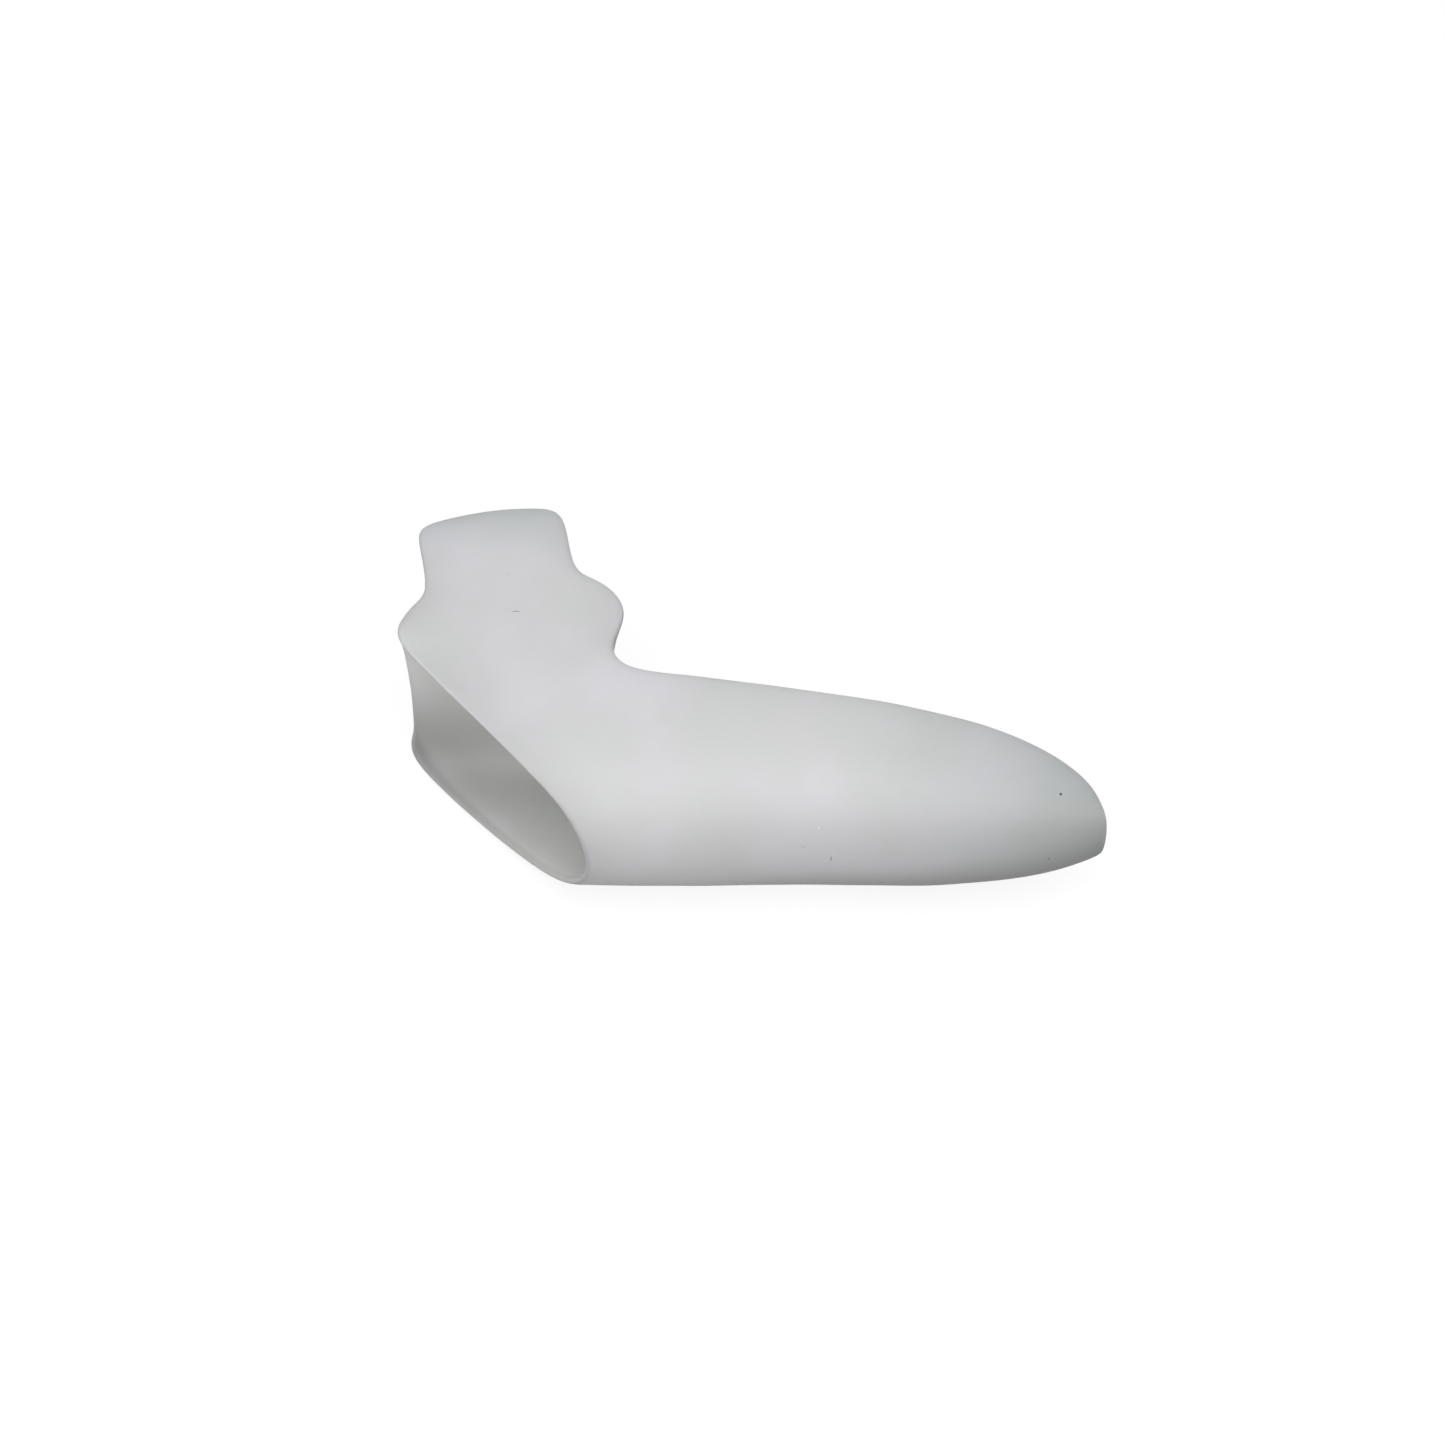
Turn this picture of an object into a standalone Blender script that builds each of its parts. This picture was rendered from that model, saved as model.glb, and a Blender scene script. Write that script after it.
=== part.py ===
"""Bunion toe sleeve: one soft gel moulding, lying on its side.

A short ring goes round the big toe. A solid spacer on one side of the ring keeps the second toe away,
and a long open trough runs back from the ring over the bunion. The moulding is the same above and below
its middle plane, so it fits either foot.

+X runs towards the heel, +Y from the bunion side towards the second toe, and +Z is up. Lengths are metres.
Heights are measured from the middle plane, and widths from the bunion side, until the object is placed.
"""

import bpy
import numpy as np

# Ring and trough, seen from above
MOUTH_X = -0.0167  # bunion side of the slanting mouth
CORNER_X = -0.0133  # where the trough's free edge leaves the spacer
CORNER_Y = 0.0178
EDGE_SLOPE = -0.146  # the free edge closes in slowly towards the heel
TIP_X = 0.0361
TIP_Y = 0.0033
EDGE_BEND_X = 0.0105  # from here on the free edge rounds in to the tip
SIDE_BEND_X = 0.0149  # and from here on the bunion side does
SIDE_HOLLOW = 0.0006  # the bunion side is a little hollow along its middle
SIDE_HOLLOW_START = -0.008
SIDE_HOLLOW_END = 0.020
CROWN = 0.80  # the highest line of the section, as a share of its width

# Heights, from the middle plane
HALF_HEIGHT = 0.0109
TAPER_X = -0.0067  # from here on the trough gets lower
EDGE_DROP = 0.015  # how far the free edge curls down again, as a share of the height
EDGE_DROP_LENGTH = 0.009

# Roundness of the section and of the tail, as exponents: 2 is an ellipse, more is fuller
SECTION_POWER = 2.8
TAPER_POWER = 2.8
SIDE_POWER = 1.65
EDGE_POWER = 2.7
TAIL_POWER = 3.0

# Wall
WALL = 0.0018
LIP = 0.0007  # wall at the free edges and at the mouth
NEAR_END = 0.6  # how much of the way from lip to full wall it has got one row in from an end
NEAR_FREE_EDGE = 0.7  # and one column in from a free edge

# Spacer, seen from above: its outline from the ring to its far end
SPACER_FRONT = (
    (-0.0372, 0.0238),
    (-0.0358, 0.0259),
    (-0.0343, 0.0273),
    (-0.0354, 0.0329),
    (-0.0361, 0.0360),
)
SPACER_BACK = (
    (-0.0143, 0.0208),
    (-0.0117, 0.0251),
    (-0.0149, 0.0290),
    (-0.0184, 0.0294),
    (-0.0190, 0.0389),
)
SPACER_END_ARCH = 0.0012  # the far end bows out in the middle
SHOULDER = 0.0021  # height of the rounded shoulder under the top face
SIDE_WAIST = 0.0026  # the sides are hollow at half height
SHOULDER_WAIST = 0.0012  # and a little under the shoulder
END_SADDLE = 0.0016  # the far end is hollow too, for the second toe
MOUTH_SET_BACK = 0.0006  # the ring's inner wall starts this far inside the mouth
# Shifts of the sides under the shoulder and at half height, as x and y
FRONT_HOLLOW = ((SHOULDER_WAIST, 0.0), (SIDE_WAIST, 0.0))
BACK_HOLLOW = ((-SHOULDER_WAIST, 0.0), (-SIDE_WAIST, 0.0))
END_HOLLOW = ((0.0, 0.0), (0.0, -END_SADDLE))

# Rows of the control mesh across the moulding: x at the free edge and x on the bunion side
ROWS = (
    (-0.0373, MOUTH_X),
    (-0.0325, -0.0152),
    (-0.0250, -0.0124),
    (-0.0185, -0.0096),
    (CORNER_X, -0.0066),
    (-0.0075, -0.0015),
    (0.0005, 0.0055),
    (0.0090, 0.0128),
    (0.0175, 0.0200),
    (0.0250, 0.0268),
    (0.0305, 0.0318),
    (0.0343, TIP_X),
)
RING_ROWS = 5  # the first rows run round the ring and across the spacer
SECTION_ANGLES = (90, 61, 30)  # degrees round the section, from its crown to near the bunion side
COLUMNS = 2 * (len(SECTION_ANGLES) + 1) + 1
MIDDLE = COLUMNS // 2
LEVELS = 4  # steps down the spacer's sides

SUBDIVISION = 2
CORNER_CREASE = 0.15  # keeps the upright corners of the spacer's far end tight
GEL_COLOUR = (0.70, 0.695, 0.71, 1.0)
GEL_ROUGHNESS = 0.49
NAME = "toe_sleeve"


def clear_scene():
    for item in list(bpy.data.objects):
        bpy.data.objects.remove(item, do_unlink=True)


def rounded_fall(x, start, power):
    """1 as far as start, then down to 0 at the tip along a superellipse."""
    share = min(max((x - start) / (TIP_X - start), 0.0), 1.0)
    return (1.0 - share**power) ** (1.0 / power)


def half_height(x):
    return HALF_HEIGHT * rounded_fall(x, TAPER_X, TAPER_POWER)


def side_y(x):
    share = min(max((x - SIDE_HOLLOW_START) / (SIDE_HOLLOW_END - SIDE_HOLLOW_START), 0.0), 1.0)
    hollow = SIDE_HOLLOW * np.sin(np.pi * share) ** 2
    return TIP_Y * (1.0 - rounded_fall(x, SIDE_BEND_X, SIDE_POWER)) + hollow


def edge_y(x):
    straight = CORNER_Y + EDGE_SLOPE * (x - CORNER_X)
    return TIP_Y + (straight - TIP_Y) * rounded_fall(x, EDGE_BEND_X, EDGE_POWER)


def edge_height(x):
    curl = min(max((x - CORNER_X) / EDGE_DROP_LENGTH, 0.0), 1.0)
    return half_height(x) * (1.0 - EDGE_DROP * curl)


def section(edge_x, side_x):
    """The upper half of one row of the outer surface, from the free edge to the bunion side."""
    points = [(edge_x, edge_y(edge_x), edge_height(edge_x))]
    for angle in np.radians(SECTION_ANGLES):
        across = 1.0 - np.cos(angle) ** (2.0 / SECTION_POWER)
        x = side_x + (edge_x - side_x) * CROWN * across
        width = CROWN * (edge_y(x) - side_y(x))
        height = half_height(x) * np.sin(angle) ** (2.0 / SECTION_POWER)
        points.append((x, side_y(x) + width * across, height))
    points.append((side_x, side_y(side_x), 0.0))
    return points


def tail_rim(edge_x):
    """The last row follows the rim round the tip."""
    points = []
    for turn in np.linspace(0.0, np.pi / 2, MIDDLE + 1)[:-1]:
        share = np.sin(turn) ** (2.0 / TAIL_POWER)
        x = edge_x + (TIP_X - edge_x) * share
        y = edge_y(edge_x) + (TIP_Y - edge_y(edge_x)) * share
        points.append((x, y, edge_height(edge_x) * np.cos(turn) ** (2.0 / TAIL_POWER)))
    points.append((TIP_X, TIP_Y, 0.0))
    return points


def mirrored(points):
    """The upper points, with the same ones below the middle plane after them."""
    return points + [(x, y, -z) for x, y, z in points[-2::-1]]


def outer_surface():
    rows = [section(edge_x, side_x) for edge_x, side_x in ROWS[:-1]]
    rows.append(tail_rim(ROWS[-1][0]))
    return np.array([mirrored(row) for row in rows])


def outward(surface):
    along = np.gradient(surface, axis=0)
    across = np.gradient(surface, axis=1)
    normals = np.cross(across, along)
    return normals / np.linalg.norm(normals, axis=2, keepdims=True)


def wall_thickness():
    """The wall at each point, thinning to a lip at the mouth, the free edges and the tail."""
    rows = len(ROWS)
    share = np.ones((rows, COLUMNS))
    share[[0, -1], :] = 0.0
    share[[1, -2], :] = NEAR_END
    share[RING_ROWS:, [0, -1]] = 0.0
    share[RING_ROWS : rows - 1, [1, -2]] = NEAR_FREE_EDGE
    return LIP + (WALL - LIP) * share[:, :, None]


def spacer_top():
    """Columns of the top face beyond the ring, each from the mouth side to the heel side."""
    columns = []
    for number, (front, back) in enumerate(zip(SPACER_FRONT, SPACER_BACK), 1):
        arch = SPACER_END_ARCH * number / len(SPACER_FRONT)
        column = []
        for share in np.linspace(0.0, 1.0, RING_ROWS):
            x = front[0] + (back[0] - front[0]) * share
            y = front[1] + (back[1] - front[1]) * share + arch * np.sin(np.pi * share)
            column.append((x, y, HALF_HEIGHT))
        columns.append(column)
    return columns


class Cage:
    """Control points and the four-sided faces between them."""

    def __init__(self):
        self.points = []
        self.faces = []

    def put(self, point):
        self.points.append(tuple(float(value) for value in point))
        return len(self.points) - 1

    def put_grid(self, surface):
        return [[self.put(point) for point in row] for row in surface]

    def skin(self, grid, flip=False):
        """Faces between neighbouring points of a grid of point numbers."""
        for low, high in zip(grid, grid[1:]):
            for a, b, c, d in zip(low, low[1:], high[1:], high):
                self.faces.append((a, d, c, b) if flip else (a, b, c, d))


def side_levels(cage, upper, inward):
    """Point numbers down one upright line of the spacer's side, hollowed in the inward direction."""
    x, y, z = cage.points[upper]
    shoulder, waist = inward
    return [
        upper,
        cage.put((x + shoulder[0], y + shoulder[1], z - SHOULDER)),
        cage.put((x + waist[0], y + waist[1], 0.0)),
        cage.put((x + shoulder[0], y + shoulder[1], SHOULDER - z)),
        cage.put((x, y, -z)),
    ]


def set_back_mouth(cage, numbers):
    for number in numbers:
        x, y, z = cage.points[number]
        cage.points[number] = (x + MOUTH_SET_BACK, y, z)


def spacer_walls(cage, top, outer, inner):
    """Upright lines round the spacer: its mouth side, heel side and far end, and the ring's inner wall."""
    lines = {}
    last = len(top) - 1
    for column in range(1, len(top)):
        lines[column, 0] = side_levels(cage, top[column][0], FRONT_HOLLOW)
        lines[column, RING_ROWS - 1] = side_levels(cage, top[column][-1], BACK_HOLLOW)
    for row in range(1, RING_ROWS - 1):
        lines[last, row] = side_levels(cage, top[last][row], END_HOLLOW)
    for row in range(RING_ROWS):
        x, y, _ = cage.points[inner[row][0]]
        middle = cage.put((x, y, 0.0))
        lines[0, row] = [outer[row][0], inner[row][0], middle, inner[row][-1], outer[row][-1]]
    return lines


def build_cage():
    cage = Cage()
    surface = outer_surface()
    outer = cage.put_grid(surface)
    inner = cage.put_grid(surface - outward(surface) * wall_thickness())
    cage.skin(outer)
    cage.skin(inner, flip=True)

    # The lips: round the mouth, round the tail and along both free edges
    cage.skin([outer[0], inner[0]], flip=True)
    cage.skin([outer[-1], inner[-1]])
    free = range(RING_ROWS - 1, len(ROWS))
    cage.skin([[outer[row][0] for row in free], [inner[row][0] for row in free]])
    cage.skin([[outer[row][-1] for row in free], [inner[row][-1] for row in free]], flip=True)

    # The spacer
    set_back_mouth(cage, (inner[0][0], inner[0][-1]))
    top = [[outer[row][0] for row in range(RING_ROWS)]] + cage.put_grid(spacer_top())
    lines = spacer_walls(cage, top, outer, inner)
    last = len(top) - 1
    bottom = [list(top_column) for top_column in top]
    for column in range(len(top)):
        for row in range(RING_ROWS):
            if (column, row) in lines:
                bottom[column][row] = lines[column, row][LEVELS]
            else:
                x, y, z = cage.points[top[column][row]]
                bottom[column][row] = cage.put((x, y, -z))
    cage.skin(top)
    cage.skin(bottom, flip=True)
    cage.skin([lines[column, 0] for column in range(last + 1)], flip=True)
    cage.skin([lines[column, RING_ROWS - 1] for column in range(last + 1)])
    cage.skin([lines[last, row] for row in range(RING_ROWS)], flip=True)
    cage.skin([lines[0, row][1:LEVELS] for row in range(RING_ROWS)])
    corners = [lines[last, 0], lines[last, RING_ROWS - 1]]
    return cage, corners


def crease_corners(mesh, corners):
    """Tightens the upright corners of the spacer's far end."""
    pairs = {frozenset(pair) for line in corners for pair in zip(line, line[1:])}
    crease = mesh.attributes.new("crease_edge", "FLOAT", "EDGE")
    for edge in mesh.edges:
        if frozenset(edge.vertices) in pairs:
            crease.data[edge.index].value = CORNER_CREASE


def gel_material():
    material = bpy.data.materials.new("milky_gel")
    material.use_nodes = True
    shader = material.node_tree.nodes["Principled BSDF"]
    shader.inputs["Base Color"].default_value = GEL_COLOUR
    shader.inputs["Roughness"].default_value = GEL_ROUGHNESS
    shader.inputs["Metallic"].default_value = 0.0
    return material


def make_sleeve():
    cage, corners = build_cage()
    mesh = bpy.data.meshes.new(NAME)
    mesh.from_pydata(cage.points, [], cage.faces)
    crease_corners(mesh, corners)
    mesh.shade_smooth()
    mesh.materials.append(gel_material())
    sleeve = bpy.data.objects.new(NAME, mesh)
    bpy.context.scene.collection.objects.link(sleeve)
    smooth = sleeve.modifiers.new("smooth", "SUBSURF")
    smooth.levels = SUBDIVISION
    smooth.render_levels = SUBDIVISION
    return sleeve


def stand_on_origin(sleeve):
    """Puts the middle of the moulding's underside on the origin."""
    bpy.context.view_layer.update()
    shape = sleeve.evaluated_get(bpy.context.evaluated_depsgraph_get()).to_mesh()
    points = np.array([vertex.co for vertex in shape.vertices])
    low, high = points.min(axis=0), points.max(axis=0)
    sleeve.location = (-(low[0] + high[0]) / 2, -(low[1] + high[1]) / 2, -low[2])


clear_scene()
stand_on_origin(make_sleeve())
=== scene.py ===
"""A bunion toe sleeve, moulded in one piece from milky, slightly translucent gel, on a white studio floor.

The sleeve lies on its side. Its short ring opens to the lower left, the solid toe spacer stands behind the
ring, and the open trough runs to the right. It is the same above and below its middle plane.

+X runs towards the heel, +Y from the bunion side towards the second toe, and +Z is up. Lengths are metres.
The sleeve's own heights are measured from its middle plane until it is laid on the floor.
"""

from math import radians

import bpy
import numpy as np
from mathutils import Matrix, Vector, noise


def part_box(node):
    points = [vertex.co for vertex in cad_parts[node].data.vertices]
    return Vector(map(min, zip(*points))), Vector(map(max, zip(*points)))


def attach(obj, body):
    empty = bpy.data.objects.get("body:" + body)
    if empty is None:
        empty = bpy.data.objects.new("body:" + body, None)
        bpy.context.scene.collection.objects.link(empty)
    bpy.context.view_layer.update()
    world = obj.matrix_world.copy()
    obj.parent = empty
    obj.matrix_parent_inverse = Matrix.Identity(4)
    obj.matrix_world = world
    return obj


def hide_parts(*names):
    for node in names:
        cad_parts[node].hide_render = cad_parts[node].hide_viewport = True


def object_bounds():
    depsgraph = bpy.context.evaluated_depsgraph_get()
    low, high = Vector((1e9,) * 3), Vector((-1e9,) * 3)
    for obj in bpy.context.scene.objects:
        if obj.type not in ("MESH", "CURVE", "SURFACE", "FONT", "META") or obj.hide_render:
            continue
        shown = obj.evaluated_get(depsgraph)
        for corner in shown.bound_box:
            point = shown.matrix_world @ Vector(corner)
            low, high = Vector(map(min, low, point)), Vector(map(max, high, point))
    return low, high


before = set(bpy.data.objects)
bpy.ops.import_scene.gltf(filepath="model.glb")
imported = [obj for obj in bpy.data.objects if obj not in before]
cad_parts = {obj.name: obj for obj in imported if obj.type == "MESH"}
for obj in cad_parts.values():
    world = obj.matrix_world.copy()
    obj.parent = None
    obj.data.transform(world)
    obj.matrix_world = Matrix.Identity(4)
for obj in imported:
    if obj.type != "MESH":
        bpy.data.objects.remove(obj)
cad_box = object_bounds()

# Ring and trough, seen from above
MOUTH_X = -0.0167  # bunion side of the slanting mouth
CORNER_X = -0.0133  # where the trough's free edge leaves the spacer
CORNER_Y = 0.0178
EDGE_SLOPE = -0.146  # the free edge closes in slowly towards the heel
TIP_X = 0.0361
TIP_Y = 0.0033
EDGE_BEND_X = 0.0105  # from here on the free edge rounds in to the tip
SIDE_BEND_X = 0.0149  # and from here on the bunion side does
SIDE_HOLLOW = 0.0006  # the bunion side is a little hollow along its middle
SIDE_HOLLOW_START = -0.008
SIDE_HOLLOW_END = 0.020
CROWN = 0.80  # the highest line of the section, as a share of its width

# Heights, from the middle plane
HALF_HEIGHT = 0.0109
TAPER_X = -0.0067  # from here on the trough gets lower
EDGE_DROP = 0.015  # how far the free edge curls down again, as a share of the height
EDGE_DROP_LENGTH = 0.009

# Roundness of the section and of the tail, as exponents: 2 is an ellipse, more is fuller
SECTION_POWER = 2.8
TAPER_POWER = 2.8
SIDE_POWER = 1.65
EDGE_POWER = 2.7
TAIL_POWER = 3.0

# Wall
WALL = 0.0018
LIP = 0.0007  # wall at the free edges and at the mouth
NEAR_END = 0.6  # how much of the way from lip to full wall it has got one row in from an end
NEAR_FREE_EDGE = 0.7  # and one column in from a free edge

# Spacer, seen from above: its outline from the ring to its far end
SPACER_FRONT = (
    (-0.0372, 0.0238),
    (-0.0358, 0.0259),
    (-0.0343, 0.0273),
    (-0.0354, 0.0329),
    (-0.0361, 0.0360),
)
SPACER_BACK = (
    (-0.0143, 0.0208),
    (-0.0117, 0.0251),
    (-0.0149, 0.0290),
    (-0.0184, 0.0294),
    (-0.0190, 0.0389),
)
SPACER_END_ARCH = 0.0012  # the far end bows out in the middle
SHOULDER = 0.0021  # height of the rounded shoulder under the top face
SIDE_WAIST = 0.0026  # the sides are hollow at half height
SHOULDER_WAIST = 0.0012  # and a little under the shoulder
END_SADDLE = 0.0016  # the far end is hollow too, for the second toe
MOUTH_SET_BACK = 0.0006  # the ring's inner wall starts this far inside the mouth
# Shifts of the sides under the shoulder and at half height, as x and y
FRONT_HOLLOW = ((SHOULDER_WAIST, 0.0), (SIDE_WAIST, 0.0))
BACK_HOLLOW = ((-SHOULDER_WAIST, 0.0), (-SIDE_WAIST, 0.0))
END_HOLLOW = ((0.0, 0.0), (0.0, -END_SADDLE))

# Rows of the control mesh across the moulding: x at the free edge and x on the bunion side
ROWS = (
    (-0.0373, MOUTH_X),
    (-0.0325, -0.0152),
    (-0.0250, -0.0124),
    (-0.0185, -0.0096),
    (CORNER_X, -0.0066),
    (-0.0075, -0.0015),
    (0.0005, 0.0055),
    (0.0090, 0.0128),
    (0.0175, 0.0200),
    (0.0250, 0.0268),
    (0.0305, 0.0318),
    (0.0343, TIP_X),
)
RING_ROWS = 5  # the first rows run round the ring and across the spacer
SECTION_ANGLES = (90, 61, 30)  # degrees round the section, from its crown to near the bunion side
COLUMNS = 2 * (len(SECTION_ANGLES) + 1) + 1
MIDDLE = COLUMNS // 2
LEVELS = 4  # steps down the spacer's sides

SUBDIVISION = 4
CORNER_CREASE = 0.15  # keeps the upright corners of the spacer's far end tight

# The moulding's slight unevenness
WAVE_HEIGHT = 0.00006
WAVES_PER_METRE = 160.0

# Gel
GEL_LIGHT = (0.708, 0.700, 0.727)
GEL_SHADE = (0.664, 0.670, 0.668)
CLOUDS_PER_METRE = 70.0
CLOUD_DETAIL = 3.0
CLOUD_LOW = 0.35  # the noise's stretch that shades from GEL_SHADE to GEL_LIGHT
CLOUD_HIGH = 0.65
ROUGHNESS = (0.44, 0.54)  # where the clouds are dark, and where they are light
GRAIN_PER_METRE = 1400.0
GRAIN_DETAIL = 2.0
GRAIN_HEIGHT = 0.00003
SCATTER_DEPTH = 0.0009
SCATTER_COLOUR = (1.0, 0.96, 0.92)
SPECULAR = 0.15

# Tints of the gel, painted light and painted shade on it, as shares of its colour
TAIL_GEL_AND_SHADE = (0.81, 0.84, 0.825)  # the tail's clearer gel, and painted shade where the light falls off towards the tail
TAIL_START_X = 0.006
TAIL_END_X = 0.036
FAR_GEL_AND_SHADE = (0.93, 0.965, 0.955)  # the spacer's far end: greener gel, and painted shade where the light falls off there
FAR_START_Y = 0.008
FAR_END_Y = 0.020
UNDER_PAINTED_SHADE = (0.73, 0.72, 0.715)  # painted shade on the low part of the outside, next to what the sleeve lies on
UNDER_SHADE_TOP = 0.0095
UNDER_SHADE_BASE = 0.0030
UNDER_SHADE_SLOPE = 0.115  # the painted shade reaches higher towards the tail, which rises from the floor
INNER_PAINTED_LIGHT = (1.20, 1.20, 1.18)  # painted light on the inner faces, for the light they get through the wall
HOLLOW_PAINTED_SHADE = (0.47, 0.48, 0.465)  # painted shade at the foot of the ring's inner face by the spacer
HOLLOW_SHADE_TOP = 0.0185
HOLLOW_SHADE_BASE = 0.002
HOLLOW_SHADE_SHARES = (1.0, 0.80, 0.42, 0.05, 0.0)  # less and less of it round the ring, away from the spacer
HOLLOW_SHADE_ROWS = (0.95, 0.85, 0.57, 0.43, 0.4)  # and from the mouth inwards
THIN_PAINTED_SHADE = (0.86, 0.865, 0.86)  # painted shade on the thin gel near the edges, where the shaded inside shows through
FREE_EDGE_SHADE = 0.4  # the trough's free edges get this share of the thin gel's painted shade
SPACER_SIDE_SHADE = 0.6  # and the spacer's rounded sides this
LIP_PAINTED_SHADE = (0.84, 0.84, 0.84)  # painted shade on the face of the mouth's lip
LIP_SHADE_SHARES = (0.3, 0.4, 0.5, 0.8, 1.0)  # from the mouth's upper corner to the bunion side, then the last one
LIP_SHADE_START = 0.55  # the shares fade out beside the lip, so they count for nothing up to here
LIP_SHADE_END = 0.90  # and in full from here on

# Small marks: centre and half sizes in millimetres, and the share of the gel's colour there
MARKS = {
    # painted shade in a fine nick on the spacer's top face, and at its end
    "nick_painted_shade": ((-24.07, 4.77, 21.8), (0.50, 0.07, 0.3), 0.44),
    "nick_foot_painted_shade": ((-23.81, 2.43, 21.8), (0.35, 0.08, 0.3), 0.95),
    "tail_speck": ((31.18, -14.75, 17.23), (0.15, 0.18, 0.3), 0.10),
    "rim_speck": ((30.33, -18.01, 10.23), (0.18, 0.3, 0.18), 0.50),
    "side_tick": ((8.14, -18.79, 11.51), (0.09, 0.3, 0.50), 0.60),
    "side_smudge": ((5.31, -18.60, 13.42), (0.34, 0.3, 0.22), 0.90),
    "hollow_speck": ((-22.83, -5.18, 1.83), (0.17, 0.13, 0.3), 0.80),
    "spacer_speck": ((-24.99, 9.66, 21.8), (0.18, 0.18, 0.3), 0.90),
    "air_bubble": ((6.82, -18.00, 15.97), (0.16, 0.3, 0.16), 1.16),
}
MARK_EDGE = 0.55  # a mark fades out from this share of its size
MILLIMETRE = 0.001

# Camera and studio
CAMERA_ELEVATION = 55.0
CAMERA_DISTANCE = 0.3763
CAMERA_LENS = 90.0
CAMERA_SENSOR = 36.0
CAMERA_NEAR = 0.01
CAMERA_AIM = Vector((-0.00286, -0.00152, 0.0109))
KEY_PLACE = Vector((0.000, -0.068, 0.201))
KEY_SIZE = 0.13
KEY_LEVEL = 0.27  # the share of a full plain level that it gives on what faces it at the origin
FILL_PLACE = Vector((-0.065, -0.150, 0.075))
FILL_SIZE = 0.08
FILL_LEVEL = 0.20  # the same
LAMP_COLOURS = {"key": (1.0, 0.99, 1.02), "fill": (1.0, 1.01, 0.96)}
SKY_LEVEL = 0.585
FLOOR_SIZE = 6.0
FLOOR_SHADE = 0.20
FLOOR_LIFT = 0.86  # the floor's own light where it is seen, which makes it white
WHITE = (1.0, 1.0, 1.0, 1.0)


def rounded_fall(x, start, power):
    """1 as far as start, then down to 0 at the tip along a superellipse."""
    share = min(max((x - start) / (TIP_X - start), 0.0), 1.0)
    return (1.0 - share**power) ** (1.0 / power)


def half_height(x):
    return HALF_HEIGHT * rounded_fall(x, TAPER_X, TAPER_POWER)


def side_y(x):
    share = min(max((x - SIDE_HOLLOW_START) / (SIDE_HOLLOW_END - SIDE_HOLLOW_START), 0.0), 1.0)
    hollow = SIDE_HOLLOW * np.sin(np.pi * share) ** 2
    return TIP_Y * (1.0 - rounded_fall(x, SIDE_BEND_X, SIDE_POWER)) + hollow


def edge_y(x):
    straight = CORNER_Y + EDGE_SLOPE * (x - CORNER_X)
    return TIP_Y + (straight - TIP_Y) * rounded_fall(x, EDGE_BEND_X, EDGE_POWER)


def edge_height(x):
    curl = min(max((x - CORNER_X) / EDGE_DROP_LENGTH, 0.0), 1.0)
    return half_height(x) * (1.0 - EDGE_DROP * curl)


def section(edge_x, side_x):
    """The upper half of one row of the outer surface, from the free edge to the bunion side."""
    points = [(edge_x, edge_y(edge_x), edge_height(edge_x))]
    for angle in np.radians(SECTION_ANGLES):
        across = 1.0 - np.cos(angle) ** (2.0 / SECTION_POWER)
        x = side_x + (edge_x - side_x) * CROWN * across
        width = CROWN * (edge_y(x) - side_y(x))
        height = half_height(x) * np.sin(angle) ** (2.0 / SECTION_POWER)
        points.append((x, side_y(x) + width * across, height))
    points.append((side_x, side_y(side_x), 0.0))
    return points


def tail_rim(edge_x):
    """The last row follows the rim round the tip."""
    points = []
    for turn in np.linspace(0.0, np.pi / 2, MIDDLE + 1)[:-1]:
        share = np.sin(turn) ** (2.0 / TAIL_POWER)
        x = edge_x + (TIP_X - edge_x) * share
        y = edge_y(edge_x) + (TIP_Y - edge_y(edge_x)) * share
        points.append((x, y, edge_height(edge_x) * np.cos(turn) ** (2.0 / TAIL_POWER)))
    points.append((TIP_X, TIP_Y, 0.0))
    return points


def mirrored(points):
    """The upper points, with the same ones below the middle plane after them."""
    return points + [(x, y, -z) for x, y, z in points[-2::-1]]


def outer_surface():
    rows = [section(edge_x, side_x) for edge_x, side_x in ROWS[:-1]]
    rows.append(tail_rim(ROWS[-1][0]))
    return np.array([mirrored(row) for row in rows])


def outward(surface):
    along = np.gradient(surface, axis=0)
    across = np.gradient(surface, axis=1)
    normals = np.cross(across, along)
    return normals / np.linalg.norm(normals, axis=2, keepdims=True)


def wall_share():
    """How much of the way from lip to full wall each point has got."""
    rows = len(ROWS)
    share = np.ones((rows, COLUMNS))
    share[[0, -1], :] = 0.0
    share[[1, -2], :] = NEAR_END
    share[RING_ROWS:, [0, -1]] = 0.0
    share[RING_ROWS : rows - 1, [1, -2]] = NEAR_FREE_EDGE
    return share


def spacer_top():
    """Columns of the top face beyond the ring, each from the mouth side to the heel side."""
    columns = []
    for number, (front, back) in enumerate(zip(SPACER_FRONT, SPACER_BACK), 1):
        arch = SPACER_END_ARCH * number / len(SPACER_FRONT)
        column = []
        for share in np.linspace(0.0, 1.0, RING_ROWS):
            x = front[0] + (back[0] - front[0]) * share
            y = front[1] + (back[1] - front[1]) * share + arch * np.sin(np.pi * share)
            column.append((x, y, HALF_HEIGHT))
        columns.append(column)
    return columns


class Cage:
    """Control points and the four-sided faces between them."""

    def __init__(self):
        self.points = []
        self.faces = []

    def put(self, point):
        self.points.append(tuple(float(value) for value in point))
        return len(self.points) - 1

    def put_grid(self, surface):
        return [[self.put(point) for point in row] for row in surface]

    def skin(self, grid, flip=False):
        """Faces between neighbouring points of a grid of point numbers."""
        for low, high in zip(grid, grid[1:]):
            for a, b, c, d in zip(low, low[1:], high[1:], high):
                self.faces.append((a, d, c, b) if flip else (a, b, c, d))


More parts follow.
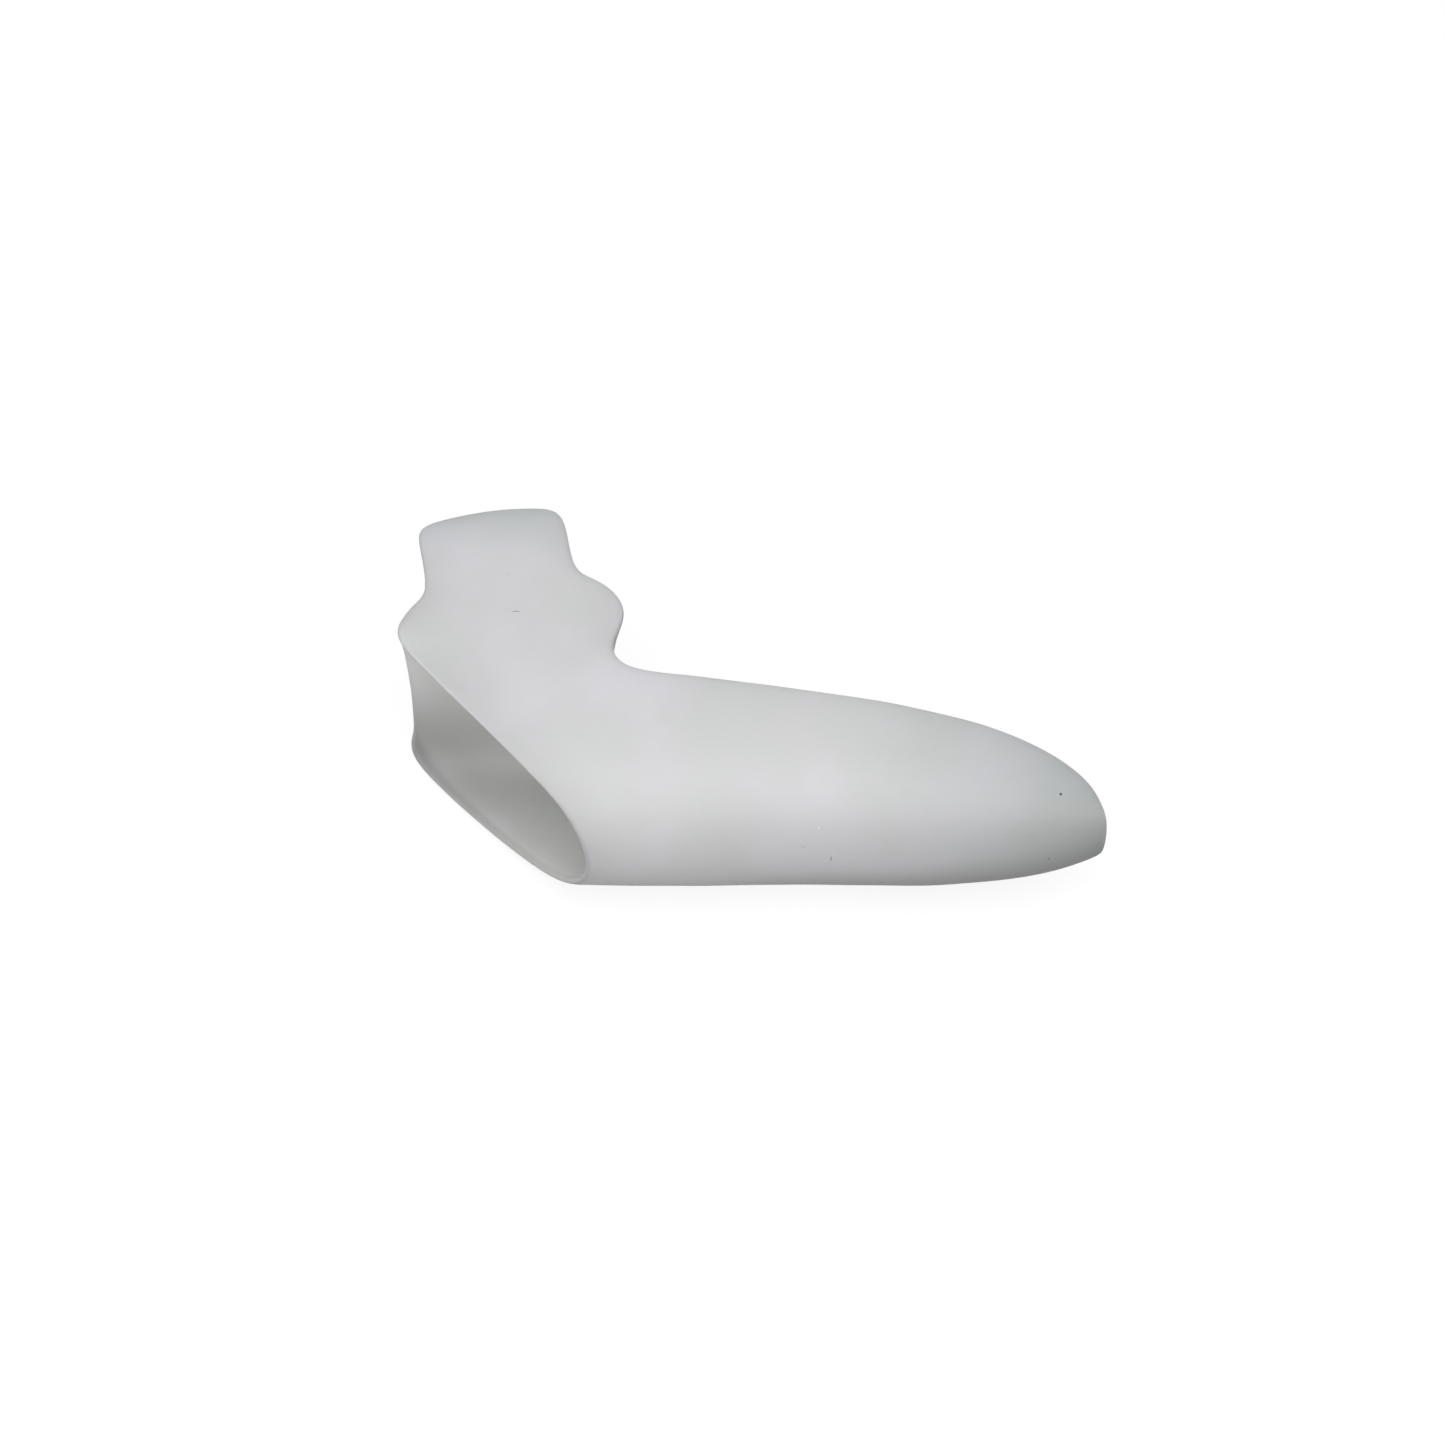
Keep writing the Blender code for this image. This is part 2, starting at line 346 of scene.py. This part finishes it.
def side_levels(cage, upper, inward):
    """Point numbers down one upright line of the spacer's side, hollowed in the inward direction."""
    x, y, z = cage.points[upper]
    shoulder, waist = inward
    return [
        upper,
        cage.put((x + shoulder[0], y + shoulder[1], z - SHOULDER)),
        cage.put((x + waist[0], y + waist[1], 0.0)),
        cage.put((x + shoulder[0], y + shoulder[1], SHOULDER - z)),
        cage.put((x, y, -z)),
    ]


def set_back_mouth(cage, numbers):
    for number in numbers:
        x, y, z = cage.points[number]
        cage.points[number] = (x + MOUTH_SET_BACK, y, z)


def spacer_walls(cage, top, outer, inner):
    """Upright lines round the spacer: its mouth side, heel side and far end, and the ring's inner wall."""
    lines = {}
    last = len(top) - 1
    for column in range(1, len(top)):
        lines[column, 0] = side_levels(cage, top[column][0], FRONT_HOLLOW)
        lines[column, RING_ROWS - 1] = side_levels(cage, top[column][-1], BACK_HOLLOW)
    for row in range(1, RING_ROWS - 1):
        lines[last, row] = side_levels(cage, top[last][row], END_HOLLOW)
    for row in range(RING_ROWS):
        x, y, _ = cage.points[inner[row][0]]
        middle = cage.put((x, y, 0.0))
        lines[0, row] = [outer[row][0], inner[row][0], middle, inner[row][-1], outer[row][-1]]
    return lines


def point_tints(outer, inner, lines, share):
    """How far each point is on an inner face, and its shares of painted shade: in the hollow by the spacer,
    on thin gel and on the lip.
    """
    # hollow: painted shade at the foot of the ring's inner face
    hollow = {lines[0, row][2]: 1.0 for row in range(RING_ROWS)}
    inner_face = dict(hollow)
    # thin: painted shade on the thin gel near the edges and on the spacer's rounded sides
    thin_shade = {}
    # lip: painted shade on the face of the mouth's lip
    lip_shade = {}
    for mouth_row in (outer[0], inner[0]):
        lip_shade.update((number, LIP_SHADE_SHARES[min(column, MIDDLE)]) for column, number in enumerate(mouth_row))
    for (column, _), line in lines.items():
        if column > 0:
            thin_shade.update(dict.fromkeys(line, SPACER_SIDE_SHADE))
    for row, (outer_row, inner_row) in enumerate(zip(outer, inner)):
        inner_face.update(dict.fromkeys(inner_row, 1.0))
        for column in range(COLUMNS):
            from_edge = min(column, COLUMNS - 1 - column)
            if row >= RING_ROWS:
                thin_shade[outer_row[column]] = FREE_EDGE_SHADE * (1.0 - share[row, column])
                continue
            hollow[inner_row[column]] = HOLLOW_SHADE_SHARES[from_edge] * HOLLOW_SHADE_ROWS[row]
            if from_edge > 0:
                thin_shade[outer_row[column]] = 1.0 - share[row, column]
    return {"inner_face": inner_face, "hollow": hollow, "thin_shade": thin_shade, "lip_shade": lip_shade}


def build_cage():
    """The control mesh, its upright spacer corners and its points' tints."""
    cage = Cage()
    surface = outer_surface()
    share = wall_share()
    wall = LIP + (WALL - LIP) * share[:, :, None]
    outer = cage.put_grid(surface)
    inner = cage.put_grid(surface - outward(surface) * wall)
    cage.skin(outer)
    cage.skin(inner, flip=True)

    # The lips: round the mouth, round the tail and along both free edges
    cage.skin([outer[0], inner[0]], flip=True)
    cage.skin([outer[-1], inner[-1]])
    free = range(RING_ROWS - 1, len(ROWS))
    cage.skin([[outer[row][0] for row in free], [inner[row][0] for row in free]])
    cage.skin([[outer[row][-1] for row in free], [inner[row][-1] for row in free]], flip=True)

    # The spacer
    set_back_mouth(cage, (inner[0][0], inner[0][-1]))
    top = [[outer[row][0] for row in range(RING_ROWS)]] + cage.put_grid(spacer_top())
    lines = spacer_walls(cage, top, outer, inner)
    last = len(top) - 1
    bottom = [list(top_column) for top_column in top]
    for column in range(len(top)):
        for row in range(RING_ROWS):
            if (column, row) in lines:
                bottom[column][row] = lines[column, row][LEVELS]
            else:
                x, y, z = cage.points[top[column][row]]
                bottom[column][row] = cage.put((x, y, -z))
    cage.skin(top)
    cage.skin(bottom, flip=True)
    cage.skin([lines[column, 0] for column in range(last + 1)], flip=True)
    cage.skin([lines[column, RING_ROWS - 1] for column in range(last + 1)])
    cage.skin([lines[last, row] for row in range(RING_ROWS)], flip=True)
    cage.skin([lines[0, row][1:LEVELS] for row in range(RING_ROWS)])
    corners = [lines[last, 0], lines[last, RING_ROWS - 1]]
    return cage, corners, point_tints(outer, inner, lines, share)


def crease_corners(mesh, corners):
    """Tightens the upright corners of the spacer's far end."""
    pairs = {frozenset(pair) for line in corners for pair in zip(line, line[1:])}
    crease = mesh.attributes.new("crease_edge", "FLOAT", "EDGE")
    for edge in mesh.edges:
        if frozenset(edge.vertices) in pairs:
            crease.data[edge.index].value = CORNER_CREASE


def store_tints(mesh, tints):
    """Keeps the tints' shares in the mesh's points, for the colour."""
    for name, values in tints.items():
        attribute = mesh.attributes.new(name, "FLOAT", "POINT")
        for number, value in values.items():
            attribute.data[number].value = value


def smooth_mesh(cage, corners, tints):
    """The finely subdivided surface of the control mesh."""
    coarse = bpy.data.meshes.new("control_mesh")
    coarse.from_pydata(cage.points, [], cage.faces)
    crease_corners(coarse, corners)
    store_tints(coarse, tints)
    holder = bpy.data.objects.new("control_mesh", coarse)
    bpy.context.scene.collection.objects.link(holder)
    smooth = holder.modifiers.new("smooth", "SUBSURF")
    smooth.levels = SUBDIVISION
    smooth.render_levels = SUBDIVISION
    graph = bpy.context.evaluated_depsgraph_get()
    mesh = bpy.data.meshes.new_from_object(holder.evaluated_get(graph), depsgraph=graph)
    mesh.name = "gel_sleeve"
    bpy.data.objects.remove(holder)
    bpy.data.meshes.remove(coarse)
    return mesh


def lay_in_box(mesh, low, high):
    """Moves the mesh so that it fills the box and rests on its floor, with its soft unevenness."""
    points = np.array([vertex.co for vertex in mesh.vertices])
    middle = (points.min(axis=0) + points.max(axis=0)) / 2
    goal = (np.array(low) + np.array(high)) / 2
    points += goal - middle
    normals = np.array([vertex.normal for vertex in mesh.vertices])
    waves = np.array([noise.noise(Vector(point) * WAVES_PER_METRE) for point in points])
    points += normals * (WAVE_HEIGHT * waves)[:, None]
    points[:, 2] = np.maximum(points[:, 2], low[2])
    mesh.vertices.foreach_set("co", points.astype(np.float32).ravel())
    mesh.update()


class Shader:
    """The nodes of one material, made and linked in a line each."""

    def __init__(self, name):
        self.material = bpy.data.materials.new(name)
        self.material.use_nodes = True
        self.tree = self.material.node_tree

    def node(self, kind, **settings):
        made = self.tree.nodes.new(kind)
        for setting, value in settings.items():
            setattr(made, setting, value)
        return made

    def link(self, source, target):
        self.tree.links.new(source, target)

    def noise(self, place, per_metre, detail):
        texture = self.node("ShaderNodeTexNoise")
        texture.inputs["Scale"].default_value = per_metre
        texture.inputs["Detail"].default_value = detail
        self.link(place, texture.inputs["Vector"])
        return texture.outputs["Fac"]

    def spread(self, value, start, end, low=0.0, high=1.0):
        """The value's stretch from start to end, mapped smoothly to low to high."""
        mapped = self.node("ShaderNodeMapRange", interpolation_type="SMOOTHSTEP")
        self.link(value, mapped.inputs["Value"])
        for name, number in (("From Min", start), ("From Max", end), ("To Min", low), ("To Max", high)):
            mapped.inputs[name].default_value = number
        return mapped.outputs["Result"]

    def stored(self, name):
        """A value kept in the mesh's points."""
        return self.node("ShaderNodeAttribute", attribute_name=name).outputs["Fac"]

    def multiply(self, first, second):
        product = self.node("ShaderNodeMath", operation="MULTIPLY")
        self.link(first, product.inputs[0])
        self.link(second, product.inputs[1])
        return product.outputs["Value"]

    def add_scaled(self, value, factor, other):
        """value times factor, plus other."""
        total = self.node("ShaderNodeMath", operation="MULTIPLY_ADD")
        self.link(value, total.inputs[0])
        total.inputs[1].default_value = factor
        self.link(other, total.inputs[2])
        return total.outputs["Value"]

    def mix(self, share, first, second, blend="MIX"):
        """first blended with second; either may be a plain colour."""
        mixed = self.node("ShaderNodeMix", data_type="RGBA", blend_type=blend)
        self.link(share, mixed.inputs["Factor"])
        for name, colour in (("A", first), ("B", second)):
            socket = next(s for s in mixed.inputs if s.name == name and s.type == "RGBA")
            if isinstance(colour, tuple):
                socket.default_value = (*colour[:3], 1.0)
            else:
                self.link(colour, socket)
        return next(s for s in mixed.outputs if s.type == "RGBA")

    def tint(self, colour, share, tint):
        return self.mix(share, colour, tint, "MULTIPLY")

    def vector(self, operation, first, second=None):
        made = self.node("ShaderNodeVectorMath", operation=operation)
        self.link(first, made.inputs[0])
        if second is not None:
            made.inputs[1].default_value = second
        return made


def mark_share(shader, place, centre, size):
    """1 inside an ellipsoid with this centre and these half sizes in millimetres, and 0 outside."""
    offset = shader.vector("SUBTRACT", place, [value * MILLIMETRE for value in centre])
    scaled = shader.vector("DIVIDE", offset.outputs["Vector"], [value * MILLIMETRE for value in size])
    length = shader.vector("LENGTH", scaled.outputs["Vector"])
    return shader.spread(length.outputs["Value"], 1.0, MARK_EDGE)


def gel_colour(shader, place, clouds):
    """Cloudy gel with its tints, painted light and painted shade, from the widest to the smallest, and its
    small marks.
    """
    split = shader.node("ShaderNodeSeparateXYZ")
    shader.link(place, split.inputs["Vector"])
    x, y, z = (split.outputs[axis] for axis in "XYZ")
    colour = shader.mix(clouds, GEL_SHADE, GEL_LIGHT)
    # the tail's clearer gel, with painted shade towards the tail
    colour = shader.tint(colour, shader.spread(x, TAIL_START_X, TAIL_END_X), TAIL_GEL_AND_SHADE)
    # the spacer's far end: greener gel, with painted shade
    colour = shader.tint(colour, shader.spread(y, FAR_START_Y, FAR_END_Y), FAR_GEL_AND_SHADE)

    inner_face = shader.stored("inner_face")
    foot = shader.spread(z, HOLLOW_SHADE_TOP, HOLLOW_SHADE_BASE)
    # painted light on the inner faces
    inner = shader.tint(colour, inner_face, INNER_PAINTED_LIGHT)
    # painted shade at the foot of the ring's inner face
    inner = shader.tint(inner, shader.multiply(shader.stored("hollow"), foot), HOLLOW_PAINTED_SHADE)
    # painted shade on the low part of the outside, darker towards the floor and reaching higher towards the
    # tail
    height = shader.add_scaled(x, -UNDER_SHADE_SLOPE, z)
    outer = shader.tint(colour, shader.spread(height, UNDER_SHADE_TOP, UNDER_SHADE_BASE), UNDER_PAINTED_SHADE)
    colour = shader.mix(inner_face, outer, inner)

    # painted shade on the thin gel near the edges
    colour = shader.tint(colour, shader.stored("thin_shade"), THIN_PAINTED_SHADE)
    # painted shade on the face of the mouth's lip
    colour = shader.tint(colour, shader.spread(shader.stored("lip_shade"), LIP_SHADE_START, LIP_SHADE_END), LIP_PAINTED_SHADE)
    for centre, size, left in MARKS.values():
        colour = shader.tint(colour, mark_share(shader, place, centre, size), (left, left, left))
    return colour


def gel_material():
    """Milky gel: light scatters a little way into it, and its surface is satin with a very fine grain."""
    shader = Shader("milky_gel")
    place = shader.node("ShaderNodeTexCoord").outputs["Object"]
    clouds = shader.spread(shader.noise(place, CLOUDS_PER_METRE, CLOUD_DETAIL), CLOUD_LOW, CLOUD_HIGH)
    grain = shader.node("ShaderNodeBump")
    grain.inputs["Distance"].default_value = GRAIN_HEIGHT
    grain.inputs["Strength"].default_value = 1.0
    shader.link(shader.noise(place, GRAIN_PER_METRE, GRAIN_DETAIL), grain.inputs["Height"])

    gel = shader.tree.nodes["Principled BSDF"]
    shader.link(gel_colour(shader, place, clouds), gel.inputs["Base Color"])
    shader.link(shader.spread(clouds, 0.0, 1.0, *ROUGHNESS), gel.inputs["Roughness"])
    shader.link(grain.outputs["Normal"], gel.inputs["Normal"])
    gel.inputs["Subsurface Weight"].default_value = 1.0
    gel.inputs["Subsurface Radius"].default_value = SCATTER_COLOUR
    gel.inputs["Subsurface Scale"].default_value = SCATTER_DEPTH
    gel.inputs["Specular IOR Level"].default_value = SPECULAR
    return shader.material


def make_sleeve(low, high):
    mesh = smooth_mesh(*build_cage())
    lay_in_box(mesh, low, high)
    mesh.shade_smooth()
    mesh.materials.clear()
    mesh.materials.append(gel_material())
    sleeve = bpy.data.objects.new("gel_sleeve", mesh)
    bpy.context.scene.collection.objects.link(sleeve)
    return sleeve


def seen_directly(nodes, links):
    """1 for what the camera, a reflection or a clear material sees, and 0 for light on the object."""
    path = nodes.new("ShaderNodeLightPath")
    largest = path.outputs["Is Camera Ray"]
    for name in ("Is Glossy Ray", "Is Transmission Ray"):
        either = nodes.new("ShaderNodeMath")
        either.operation = "MAXIMUM"
        links.new(largest, either.inputs[0])
        links.new(path.outputs[name], either.inputs[1])
        largest = either.outputs["Value"]
    return largest


def floor_material():
    """Pale floor: white where it is seen, with a soft shadow, and darker for the light it throws back."""
    material = bpy.data.materials.new("studio_floor")
    material.use_nodes = True
    nodes, links = material.node_tree.nodes, material.node_tree.links
    surface = nodes["Principled BSDF"]
    surface.inputs["Base Color"].default_value = (FLOOR_SHADE, FLOOR_SHADE, FLOOR_SHADE, 1.0)
    surface.inputs["Roughness"].default_value = 1.0
    surface.inputs["Specular IOR Level"].default_value = 0.0
    surface.inputs["Emission Color"].default_value = WHITE
    lift = nodes.new("ShaderNodeMath")
    lift.operation = "MULTIPLY"
    links.new(seen_directly(nodes, links), lift.inputs[0])
    lift.inputs[1].default_value = FLOOR_LIFT
    links.new(lift.outputs["Value"], surface.inputs["Emission Strength"])
    return material


def make_floor(height):
    mesh = bpy.data.meshes.new("studio_floor")
    half = FLOOR_SIZE / 2
    corners = [(-half, -half, height), (half, -half, height), (half, half, height), (-half, half, height)]
    mesh.from_pydata(corners, [], [(0, 1, 2, 3)])
    mesh.materials.append(floor_material())
    floor = bpy.data.objects.new("studio_floor", mesh)
    bpy.context.scene.collection.objects.link(floor)
    return floor


def make_world():
    """An even pale sky for light, and plain white where it is seen."""
    world = bpy.data.worlds.new("studio")
    world.use_nodes = True
    nodes, links = world.node_tree.nodes, world.node_tree.links
    background = nodes["Background"]
    level = nodes.new("ShaderNodeMapRange")
    level.inputs["To Min"].default_value = SKY_LEVEL
    level.inputs["To Max"].default_value = 1.0
    links.new(seen_directly(nodes, links), level.inputs["Value"])
    background.inputs["Color"].default_value = WHITE
    links.new(level.outputs["Result"], background.inputs["Strength"])
    bpy.context.scene.world = world


def aim(thing, place, target):
    thing.location = place
    thing.rotation_euler = (target - place).to_track_quat("-Z", "Y").to_euler()


def make_lamp(name, place, size, level):
    """A soft round lamp that faces the sleeve, with the power that gives this level at the origin."""
    lamp = bpy.data.lights.new(name, "AREA")
    lamp.shape = "DISK"
    lamp.size = size
    lamp.color = LAMP_COLOURS[name]
    lamp.energy = level * np.pi**2 * (place.length_squared + (size / 2) ** 2)
    light = bpy.data.objects.new(name, lamp)
    bpy.context.scene.collection.objects.link(light)
    aim(light, place, Vector((0.0, 0.0, 0.0)))


def make_camera():
    lens = bpy.data.cameras.new("camera")
    lens.lens = CAMERA_LENS
    lens.sensor_width = CAMERA_SENSOR
    lens.clip_start = CAMERA_NEAR
    camera = bpy.data.objects.new("camera", lens)
    bpy.context.scene.collection.objects.link(camera)
    rise = radians(CAMERA_ELEVATION)
    back = Vector((0.0, -np.cos(rise), np.sin(rise)))
    aim(camera, CAMERA_AIM + back * CAMERA_DISTANCE, CAMERA_AIM)
    bpy.context.scene.camera = camera


make_camera()

sleeve = make_sleeve(*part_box("toe_sleeve"))
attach(sleeve, "root")
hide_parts("toe_sleeve")

make_floor(cad_box[0].z)
make_world()
make_lamp("key", KEY_PLACE, KEY_SIZE, KEY_LEVEL)
make_lamp("fill", FILL_PLACE, FILL_SIZE, FILL_LEVEL)
bpy.context.scene.view_settings.view_transform = "Standard"
